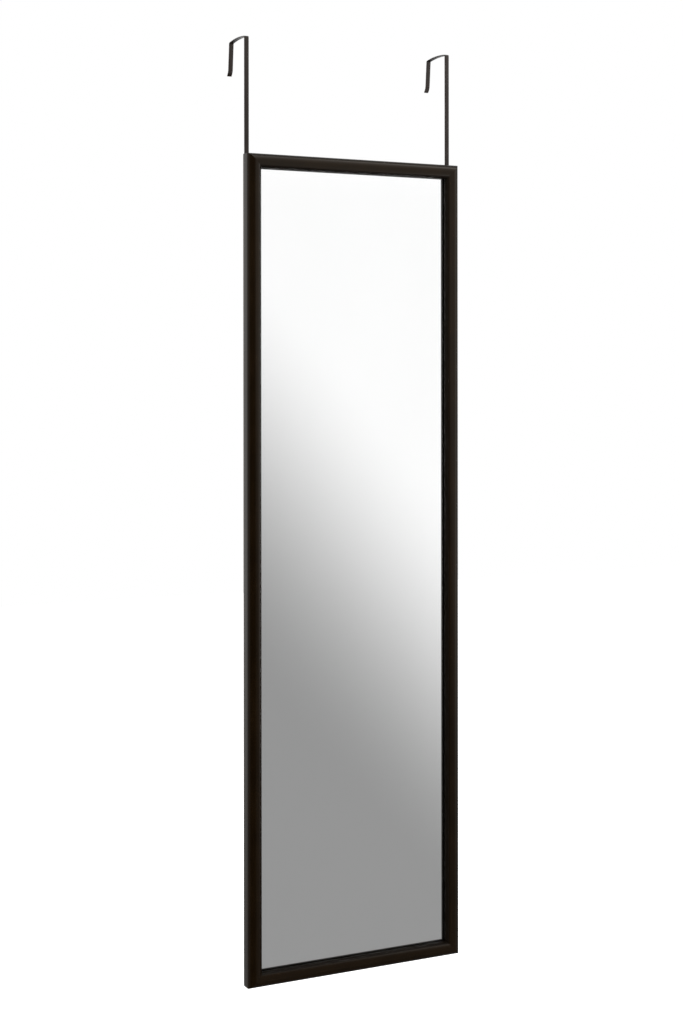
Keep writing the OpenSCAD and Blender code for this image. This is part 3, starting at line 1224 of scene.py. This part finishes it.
@dataclass
class DoorHook:
    """One flat steel strap, bent over the door, with its two screws."""

    side: Side
    strap_width: float = 7.0 * MM
    strap_thickness: float = 1.5 * MM
    edge_radius: float = 0.62 * MM
    thinning: float = 0.14
    bend_radius: float = 1.0 * MM
    bar_slope: float = 8.0
    door_gap: float = 53.3 * MM
    back_leg: float = 37.0 * MM
    back_lean: float = 5.0
    flare_radius: float = 12.0 * MM
    flare_turn: float = 34.0
    flare_end: float = 3.5 * MM
    rub_from: float = 0.72
    long_steps: int = 24
    bend_steps: int = 10
    leg_steps: int = 8
    end_steps: int = 2
    edge_steps: int = 6
    sharp_degrees: float = 30.0

    def line(self, front: float, tail: float) -> list[Vector]:
        """Walks along the strap's middle, from its tail to the flared tip.

        Args:
            front: Y of the strap's front face.
            tail: Z of its lower end.

        Returns:
            The line's points, at X = 0.
        """
        radius = self.bend_radius + self.strap_thickness / 2
        leg = front + self.strap_thickness / 2
        slope, lean = math.radians(self.bar_slope), math.radians(self.back_lean)
        chord = (self.door_gap + self.strap_thickness / 2 * math.cos(lean) - leg
                 - radius * (1 + math.cos(lean) - 2 * math.sin(slope)))
        arch = chord / (2 * math.sin(slope))
        walk = StrapWalk([Vector((0, leg, tail))], heading=QUARTER_TURN)
        walk.ahead(-self.bend_radius * math.cos(slope) - tail, self.long_steps)
        walk.turn(radius, slope - QUARTER_TURN, self.bend_steps)
        walk.turn(arch, -2 * slope, self.long_steps)
        walk.turn(radius, slope + lean - QUARTER_TURN, self.bend_steps)
        walk.ahead(self.back_leg, self.leg_steps)
        walk.turn(self.flare_radius, math.radians(self.flare_turn), self.bend_steps)
        walk.ahead(self.flare_end, self.end_steps)
        return walk.points

    def rub(self, place: Vector) -> float:
        """How much the coat wears: only towards the strap's two edges.

        Args:
            place: A spot on the strap, still at X = 0.

        Returns:
            1 at the edges, and 0 or less where the coat is whole.
        """
        half = self.strap_width / 2
        start = self.rub_from * half
        return (abs(place.x) - start) / (half - start)

    def build(self) -> None:
        """Makes the strap and its screws where the CAD nodes stand."""
        word = self.side.word
        node = f"{word}_hook"
        low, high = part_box(node)
        strap = new_line(f"door_hook_{word}", self.line(low.y, low.z))
        FLAT_WIRE.cook(
            strap, width=self.strap_width, thickness=self.strap_thickness,
            edge_radius=self.edge_radius, edge_steps=self.edge_steps, thinning=self.thinning,
            material=POWDER_COAT.material())
        store_rub(strap, self.rub)
        strap.data.transform(Matrix.Translation(((low.x + high.x) / 2, 0, 0)))
        tidy_mesh(strap, self.sharp_degrees)
        settle(strap, Slot.HOOK_STEEL, node)
        PanScrew().build_pair(f"hook_screws_{word}", f"{node}_screws")


@dataclass
class PanScrew:
    """A pan-head wood screw with a cross recess, its head towards +Y."""

    head: float = 5.6 * MM
    head_height: float = 1.6 * MM
    shank: float = 3.0 * MM
    under_head: float = 16.0 * MM
    dome_reach: float = 0.995
    dome_foot: float = 0.42
    dome_rise: float = 0.58
    rim_height: float = 0.25
    rim_taper: float = 0.97
    recess_span: float = 3.3 * MM
    recess_width: float = 0.75 * MM
    recess_depth: float = 0.95 * MM
    recess_foot: float = 0.55
    recess_mouth: float = 1.15
    recess_taper: float = 0.3
    cutter_height: float = 1.2
    dome_steps: int = 8
    around: int = 48
    turn: float = 0.6
    seed: int = 3
    sharp_degrees: float = 35.0
    recess_sharp_degrees: float = 30.0

    def profile(self) -> list[Pair]:
        """Draws half of the screw.

        Returns:
            Points as (radius, distance along Y), from the head's middle to the tip.
        """
        half = self.head / 2
        dome = [
            (half * self.dome_reach * math.sin(a),
             self.head_height * (self.dome_foot + self.dome_rise * math.cos(a)))
            for a in quarter_angles(self.dome_steps)[1:]]
        rim = [(half, self.head_height * self.rim_height), (half * self.rim_taper, 0.0)]
        point = self.under_head - self.shank
        thread = [(self.shank / 2, 0.0), (self.shank / 2, -point)]
        return [(0.0, self.head_height), *dome, *rim, *thread, (0.0, -self.under_head)]

    def cut_slot(self, screw: bpy.types.Object, angle: float) -> None:
        """Cuts one tapering arm of the recess.

        Args:
            screw: The screw to cut.
            angle: The arm's direction in the head's plane.
        """
        corners = []
        for height, share in ((self.head_height - self.recess_depth, self.recess_foot),
                              (self.head_height * self.cutter_height, self.recess_mouth)):
            narrowing = 1 - self.recess_taper + self.recess_taper * share
            corners += [
                (x * self.recess_span / 2 * share, height, z * self.recess_width / 2 * narrowing)
                for x, z in SQUARE]
        faces = [(0, 1, 2, 3), (7, 6, 5, 4), (0, 4, 5, 1), (1, 5, 6, 2), (2, 6, 7, 3),
                 (3, 7, 4, 0)]
        cutter = new_piece("recess_cutter", corners, faces=faces)
        cutter.data.transform(Matrix.Rotation(angle, 4, "Y"))
        tidy_mesh(cutter, self.recess_sharp_degrees)
        modifier = screw.modifiers.new("recess", "BOOLEAN")
        modifier.operation = "DIFFERENCE"
        modifier.solver = "EXACT"
        modifier.object = cutter
        make_plain(screw)
        bpy.data.objects.remove(cutter)

    def build_pair(self, name: str, node: str) -> None:
        """Turns a screw, cuts its recess and sets two where the CAD node has its own.

        Args:
            name: The piece's name.
            node: The CAD node that it replaces.
        """
        screw = turned_piece(name, self.profile(), self.around)
        tidy_mesh(screw, self.sharp_degrees)
        for angle in (0.0, QUARTER_TURN):
            self.cut_slot(screw, angle)
        low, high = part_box(node)
        radius = self.head / 2
        seat = Vector(((low.x + high.x) / 2, high.y - self.head_height, low.z + radius))
        ROW.cook(screw, count=2, first=seat, step=(0.0, 0.0, high.z - low.z - 2 * radius),
                 turn=self.turn, seed=self.seed, material=ZINC.material())
        tidy_mesh(screw, self.sharp_degrees)
        settle(screw, Slot.ZINC_STEEL, node)


# ---------------------------------------------------------------- the back


@dataclass
class StapleRow:
    """Flat-wire staples along one side of the backing board."""

    word: str
    count: int
    upright: bool
    seed: int
    wire_width: float = 1.2 * MM
    wire_thickness: float = 0.6 * MM
    wire_edge: float = 0.12 * MM
    leg: float = 7.0 * MM
    bend: float = 0.5 * MM
    span: float = 10.0 * MM
    turn: float = 0.02
    bend_steps: int = 6
    edge_steps: int = 3
    sharp_degrees: float = 40.0

    def line(self) -> list[Vector]:
        """Draws one staple's middle line, in the plane Z = 0.

        Returns:
            Its points, from one leg's tip to the other's.
        """
        half = (self.span - self.wire_thickness) / 2
        crown = self.wire_thickness / 2
        left = [
            Vector((-half + self.bend * (1 - math.cos(a)), crown - self.bend * (1 - math.sin(a)),
                    0)) for a in quarter_angles(self.bend_steps)]
        right = [Vector((-p.x, p.y, 0)) for p in reversed(left)]
        return [Vector((-half, -self.leg, 0)), *left, *right, Vector((half, -self.leg, 0))]

    def build(self) -> None:
        """Makes the row where the CAD node stands."""
        node = f"{self.word}_staples"
        staple = new_line(f"board_staples_{self.word}", self.line())
        FLAT_WIRE.cook(
            staple, width=self.wire_thickness, thickness=self.wire_width,
            edge_radius=self.wire_edge, edge_steps=self.edge_steps, thinning=0.0,
            material=ZINC.material())
        if self.upright:
            staple.data.transform(Matrix.Rotation(QUARTER_TURN, 4, "Y"))
        tidy_mesh(staple, self.sharp_degrees)
        low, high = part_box(node)
        middle = (low + high) / 2
        seat = high.y - self.wire_thickness
        half = self.span / 2
        if self.upright:
            first = Vector((middle.x, seat, low.z + half))
            step = Vector((0, 0, (high.z - low.z - self.span) / (self.count - 1)))
        else:
            first = Vector((low.x + half, seat, middle.z))
            step = Vector(((high.x - low.x - self.span) / (self.count - 1), 0, 0))
        ROW.cook(staple, count=self.count, first=first, step=step, turn=self.turn,
                 seed=self.seed, material=ZINC.material())
        tidy_mesh(staple, self.sharp_degrees)
        settle(staple, Slot.ZINC_STEEL, node)


@dataclass
class FeltPad:
    """A round felt pad between the board and the door."""

    word: str
    seed: int
    edge_round: float = 0.7 * MM
    fuzz: float = 0.10 * MM
    fuzz_from: float = 0.8
    stir_around: float = 9.0
    stir_per_metre: float = 2500.0
    inner_rings: Triple = (0.25, 0.5, 0.75)
    round_steps: int = 5
    side_steps: int = 6
    around: int = 96
    sharp_degrees: float = 50.0

    def profile(self, radius: float, front: float, back: float) -> list[Pair]:
        """Draws half of the pad, with soft edges.

        Args:
            radius: The pad's radius.
            front: Y of its front face.
            back: Y of its back face.

        Returns:
            Points as (radius, distance along Y), from the front's middle to the back's.
        """
        arc = quarter_angles(self.round_steps)
        top, foot = back - self.edge_round, front + self.edge_round
        return [
            (0.0, front), *((radius * share, front) for share in self.inner_rings),
            *((radius - self.edge_round * (1 - math.sin(a)),
               front + self.edge_round * (1 - math.cos(a))) for a in arc),
            *((radius, foot + (top - foot) * i / self.side_steps)
              for i in range(1, self.side_steps)),
            *((radius - self.edge_round * (1 - math.cos(a)),
               back - self.edge_round * (1 - math.sin(a))) for a in arc),
            *((radius * share, back) for share in reversed(self.inner_rings)), (0.0, back)]

    def fuzzed(self, place: Vector, radius: float) -> Vector:
        """Moves a spot of the cut side in by an uneven bit.

        Args:
            place: The spot, on a pad round the Y axis.
            radius: The pad's radius.

        Returns:
            Where the spot goes.
        """
        reach = math.hypot(place.x, place.z)
        if reach <= self.fuzz_from * radius:
            return place
        way = Vector((place.x, 0, place.z)) / reach
        stir = noise.noise(Vector((
            way.x * self.stir_around, place.y * self.stir_per_metre,
            way.z * self.stir_around + self.seed)))
        return place - way * self.fuzz * (0.5 + 0.5 * stir)

    def build(self) -> None:
        """Makes the pad where the CAD node stands."""
        node = f"{self.word}_pad"
        low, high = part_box(node)
        middle = (low + high) / 2
        radius = (high.x - low.x) / 2
        pad = turned_piece(
            f"felt_pad_{self.word}", self.profile(radius, low.y, high.y), self.around)
        for vertex in pad.data.vertices:
            vertex.co = self.fuzzed(vertex.co, radius)
        pad.data.transform(Matrix.Translation((middle.x, 0, middle.z)))
        pad.data.materials.append(FELT.material())
        tidy_mesh(pad, self.sharp_degrees)
        settle(pad, Slot.FELT, node)


@dataclass
class Back:
    """What holds the glass in: card, board, staples, corner nails and door pads."""

    side_staples: int = 5
    end_staples: int = 2
    end_seed: int = 5
    pad_seed_step: int = 7

    def build(self) -> None:
        """Makes the staples and pads."""
        for seed, side in enumerate(Side):
            StapleRow(side.word, self.side_staples, upright=True, seed=seed).build()
        for seed, end in enumerate(("top", "bottom"), start=self.end_seed):
            StapleRow(end, self.end_staples, upright=False, seed=seed).build()
        corners = [f"{level}_{side.word}" for level in ("upper", "lower") for side in Side]
        for number, corner in enumerate(corners):
            FeltPad(corner, number * self.pad_seed_step).build()

    def dress(self) -> None:
        """Gives the CAD nodes of the back their finishes."""
        dress_node("packing_card", CARD)
        dress_node("backing_board", HARDBOARD)
        for end in ("top", "bottom"):
            for side in Side:
                dress_node(f"{end}_{side.word}_v_nails", ZINC)


@dataclass
class Pane:
    """The glass and its silvering."""

    def dress(self) -> None:
        """Gives the CAD nodes of the pane their finishes."""
        dress_node("mirror_glass", GLASS)
        dress_node("silvering", SILVER)


# ---------------------------------------------------------------- studio


@dataclass(frozen=True)
class Viewpoint:
    """Where the photograph was taken from."""

    place: Triple = (-1.1209, -2.2729, -0.4954)
    azimuth: float = 26.0
    focal_px: float = 1699.2
    horizon_row: float = 378.95
    roll: float = -0.05
    drift_px: float = 0.22
    rows: int = 1024
    sensor_mm: float = 36.0

    def build(self) -> None:
        """Sets up a level camera, shifted down to frame the whole mirror."""
        lens = bpy.data.cameras.new("photo_camera")
        lens.sensor_width = self.sensor_mm
        lens.lens = self.focal_px * self.sensor_mm / self.rows
        lens.shift_x = self.drift_px / self.rows
        lens.shift_y = (self.horizon_row - self.rows / 2) / self.rows
        camera = new_object("photo_camera", lens)
        camera.location = self.place
        turn = Matrix.Rotation(-math.radians(self.azimuth), 4, "Z") @ Matrix.Rotation(
            QUARTER_TURN, 4, "X") @ Matrix.Rotation(math.radians(self.roll), 4, "Z")
        camera.rotation_euler = turn.to_euler()
        bpy.context.scene.camera = camera


@dataclass(frozen=True)
class Softbox:
    """One square area lamp that looks at the mirror."""

    name: str
    place: Triple
    size: float
    watts: float
    target: Triple = (0.0, 0.0, -0.75)

    def build(self) -> None:
        """Places the lamp, out of sight of reflections."""
        lamp = bpy.data.lights.new(self.name, "AREA")
        lamp.size = self.size
        lamp.energy = self.watts
        holder = new_object(self.name, lamp)
        holder.location = self.place
        aim = Vector(self.target) - Vector(self.place)
        holder.rotation_euler = aim.to_track_quat("-Z", "Y").to_euler()
        holder.visible_glossy = False
        holder.visible_transmission = False


@dataclass(frozen=True)
class FrontCard:
    """A large card close before the mirror, seen only in its reflections.

    It is white above and to the right, and grey below, as the mirror shows it.
    """

    before: float = 0.30
    reach: float = 3.0
    grey_signal: float = 149 / 255
    gamma: float = 2.2
    fade: Pair = (-1.034, -0.330)
    tilt: float = 1.11
    tilt_span: Pair = (-0.05, 0.45)
    left_shade: float = 0.12
    left_span: Pair = (-0.24, -0.03)
    foot_shade: float = 0.30
    foot_span: Pair = (-1.75, -1.47)
    top_glow: float = 1.15
    top_span: Pair = (-0.20, 0.30)
    right_glow: float = 0.9
    right_rise: Pair = (0.33, 0.50)
    right_fall: Pair = (0.50, 0.95)

    def build(self) -> None:
        """Stands the card up and lights it."""
        card = new_square(
            "front_card", self.reach, Vector((0, -self.before, 0)), up=Vector((0, 0, 1)))
        material = bpy.data.materials.new("lit_card")
        graph = blank_graph(material)
        glow = graph.add(
            "ShaderNodeEmission", {"Color": WHITE, "Strength": self.level(graph)})
        graph.add("ShaderNodeOutputMaterial", {"Surface": glow.outputs[0]})
        card.data.materials.append(material)
        card.visible_camera = False
        card.visible_diffuse = False
        card.visible_shadow = False

    def level(self, graph: Graph) -> bpy.types.NodeSocket:
        """Works out how bright each spot of the card is.

        Args:
            graph: The card's shader graph.

        Returns:
            The brightness, where 1 is white.
        """
        spot = graph.split(graph.object_place())
        across, height = spot["X"], spot["Z"]
        low, high = self.tilt_span
        leaning = graph.add("ShaderNodeClamp", {"Value": across, "Min": low, "Max": high})
        slanted = graph.maths("MULTIPLY_ADD", leaning.outputs[0], self.tilt, height)
        signal = graph.ramp(slanted, *self.fade, self.grey_signal, 1.0)
        level = graph.maths("POWER", signal, self.gamma)
        for factor in (
                graph.ramp(across, *self.left_span, self.left_shade, 1.0),
                graph.ramp(height, *self.foot_span, self.foot_shade, 1.0),
                graph.ramp(height, *self.top_span, 1.0, 1.0 + self.top_glow),
                graph.maths(
                    "MULTIPLY_ADD", graph.ramp(across, *self.right_rise),
                    graph.ramp(across, *self.right_fall, self.right_glow, 0.0), 1.0)):
            level = graph.maths("MULTIPLY", level, factor)
        return level


@dataclass(frozen=True)
class Studio:
    """White surroundings, a pale floor below the door, and soft lamps."""

    floor_height: float = -2.03
    floor_reach: float = 9.0
    before: float = 0.10
    beside: float = 0.55
    beside_span: Pair = (-0.25, 0.25)
    behind: float = 0.90
    behind_span: Pair = (0.78, 0.90)
    below: float = 0.45
    below_span: Pair = (-0.32, -0.10)
    daylight: float = 0.80
    lamps: tuple[Softbox, ...] = (
        Softbox("key_softbox", place=(-2.6, -1.8, 1.6), size=2.0, watts=70.0),
        Softbox("fill_softbox", place=(2.6, -2.4, 0.6), size=2.4, watts=40.0),
        Softbox("back_softbox", place=(-1.6, 2.6, 1.2), size=2.2, watts=55.0))

    def build(self) -> None:
        """Makes the surroundings, the floor, the card and the lamps."""
        self.surround()
        self.floor()
        FrontCard().build()
        for lamp in self.lamps:
            lamp.build()

    def surround(self) -> None:
        """White to the eye; in reflections, pale behind and dark in front of the mirror."""
        world = bpy.data.worlds.new("studio")
        bpy.context.scene.world = world
        graph = blank_graph(world)
        way = graph.split(graph.add("ShaderNodeTexCoord").outputs["Generated"])
        around = graph.maths(
            "ADD", graph.ramp(way["Y"], *self.beside_span, self.before, self.beside),
            graph.ramp(way["Y"], *self.behind_span, 0.0, self.behind - self.beside))
        level = graph.maths(
            "MULTIPLY", around, graph.ramp(way["Z"], *self.below_span, self.below, 1.0))
        shown, soft, white = (
            graph.add("ShaderNodeBackground", {"Color": WHITE, "Strength": strength}).outputs[0]
            for strength in (level, self.daylight, 1.0))
        ray = graph.add("ShaderNodeLightPath").outputs
        mirrored = graph.maths("MAXIMUM", ray["Is Glossy Ray"], ray["Is Transmission Ray"])
        unseen = graph.add("ShaderNodeMixShader", {0: mirrored, 1: soft, 2: shown})
        whole = graph.add(
            "ShaderNodeMixShader", {0: ray["Is Camera Ray"], 1: unseen.outputs[0], 2: white})
        graph.add("ShaderNodeOutputWorld", {"Surface": whole.outputs[0]})

    def floor(self) -> None:
        """A pale plane at the foot of the door, which keeps the mirror's shadow."""
        plane = new_square(
            "floor", self.floor_reach, Vector((0, 0, self.floor_height)), up=Vector((0, 1, 0)))
        plane.data.materials.append(PALE_FLOOR.material())
        plane.visible_glossy = False
        plane.visible_transmission = False


def main() -> None:
    """Builds the mirror's pieces and the studio in order."""
    logging.basicConfig(level=logging.INFO, format="%(message)s")
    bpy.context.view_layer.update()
    bpy.context.scene.view_settings.view_transform = "Standard"
    Viewpoint().build()
    Studio().build()
    MouldingFrame().build()
    Pane().dress()
    for side in Side:
        DoorHook(side).build()
    back = Back()
    back.build()
    back.dress()


if __name__ == "__main__":
    main()
